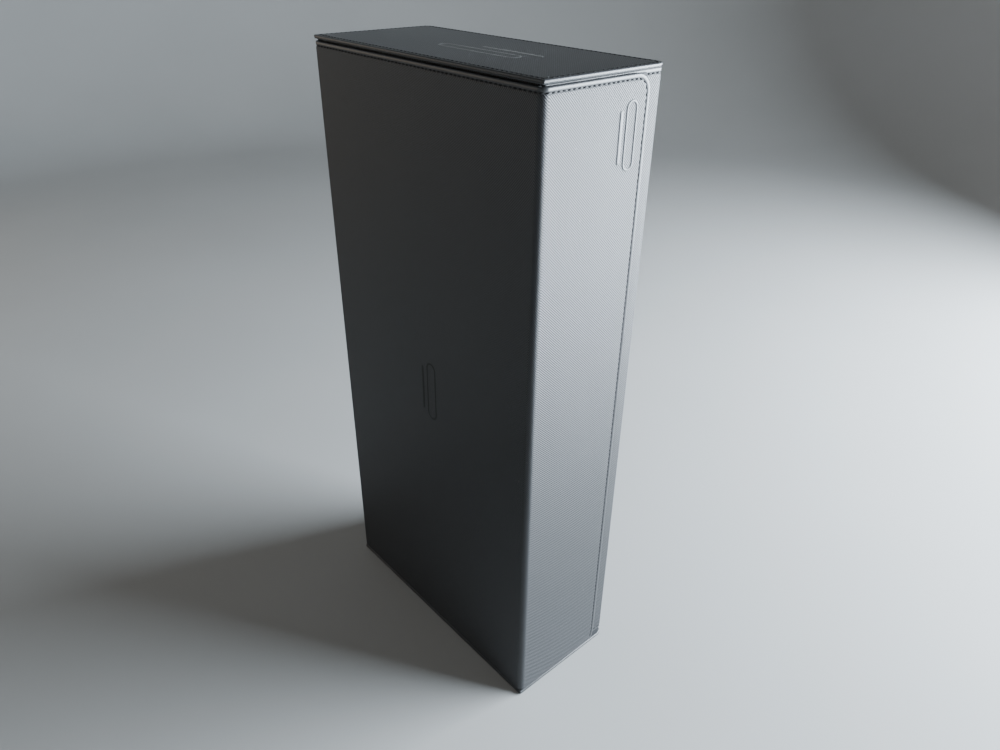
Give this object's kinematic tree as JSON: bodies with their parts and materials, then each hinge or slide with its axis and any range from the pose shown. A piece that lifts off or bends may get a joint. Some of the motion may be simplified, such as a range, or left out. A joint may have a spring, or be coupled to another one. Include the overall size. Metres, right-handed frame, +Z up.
{
  "type": "trading card storage case",
  "caption": "Long hard-shell trading card case standing on its end, with two card lanes and a hinged lid whose front flap folds over the front wall and is held by magnets.",
  "frame": {"origin": "middle of the footprint, on the ground, with the case standing on its lower end plate", "axes": "+Z up along the case's length; -Y out of the lid, +Y out of the base panel; +X out of the front flap, -X out of the hinged rear wall"},
  "size_m": [0.202, 0.088, 0.418],
  "materials": {
    "cover_leatherette": "charcoal synthetic leather with a very fine diagonal weave, soft satin sheen",
    "greyboard_core": "raw pressed fibre board",
    "microfibre_lining": "short-nap microfibre",
    "magnet_nickel": "nickel-plated disc magnets",
    "keeper_steel": "plain steel discs",
    "divider_sheet": "matt embossed plastic sheet"
  },
  "bodies": {
    "root": {"base_cover": "cover_leatherette", "rear_wall_cover": "cover_leatherette", "front_wall_cover": "cover_leatherette", "rear_hinge_strip": "cover_leatherette", "lower_end_plate_cover": "cover_leatherette", "upper_end_plate_cover": "cover_leatherette", "base_board": "greyboard_core", "rear_wall_board": "greyboard_core", "front_wall_board": "greyboard_core", "lower_end_plate_board": "greyboard_core", "upper_end_plate_board": "greyboard_core", "lower_end_board": "greyboard_core", "upper_end_board": "greyboard_core", "partition_board": "greyboard_core", "base_lining": "microfibre_lining", "rear_wall_lining": "microfibre_lining", "front_wall_lining": "microfibre_lining", "lower_end_lining": "microfibre_lining", "upper_end_lining": "microfibre_lining", "partition_rear_lining": "microfibre_lining", "partition_front_lining": "microfibre_lining", "front_wall_keeper_1": "keeper_steel", "front_wall_keeper_2": "keeper_steel", "front_wall_keeper_3": "keeper_steel", "front_wall_keeper_4": "keeper_steel"},
    "lid": {"lid_cover": "cover_leatherette", "lid_board": "greyboard_core", "lid_lining": "microfibre_lining", "front_fold_strip": "cover_leatherette"},
    "flap": {"flap_cover": "cover_leatherette", "flap_board": "greyboard_core", "flap_lining": "microfibre_lining", "flap_magnet_1": "magnet_nickel", "flap_magnet_2": "magnet_nickel", "flap_magnet_3": "magnet_nickel", "flap_magnet_4": "magnet_nickel"},
    "rear_lane_divider_1": {"rear_lane_divider_1": "divider_sheet"},
    "rear_lane_divider_2": {"rear_lane_divider_2": "divider_sheet"},
    "front_lane_divider_1": {"front_lane_divider_1": "divider_sheet"},
    "front_lane_divider_2": {"front_lane_divider_2": "divider_sheet"}
  },
  "joints": [
    {"name": "lid_hinge", "type": "hinge", "parent": "root", "child": "lid", "pos_m": [-0.1003, -0.0433, 0.209], "axis": [0, 0, -1], "range_deg": [0, 200]},
    {"name": "flap_fold", "type": "hinge", "parent": "lid", "child": "flap", "pos_m": [0.1, -0.043, 0.209], "axis": [0, 0, -1], "range_deg": [0, 110]},
    {"name": "rear_lane_divider_1_slide", "type": "slide", "parent": "root", "child": "rear_lane_divider_1", "axis": [0, 0, 1], "range_m": [0, 0.2]},
    {"name": "rear_lane_divider_2_slide", "type": "slide", "parent": "rear_lane_divider_1", "child": "rear_lane_divider_2", "axis": [0, 0, 1], "range_m": [0, 0.2]},
    {"name": "front_lane_divider_1_slide", "type": "slide", "parent": "root", "child": "front_lane_divider_1", "axis": [0, 0, 1], "range_m": [0, 0.2]},
    {"name": "front_lane_divider_2_slide", "type": "slide", "parent": "front_lane_divider_1", "child": "front_lane_divider_2", "axis": [0, 0, 1], "range_m": [0, 0.2]}
  ]
}
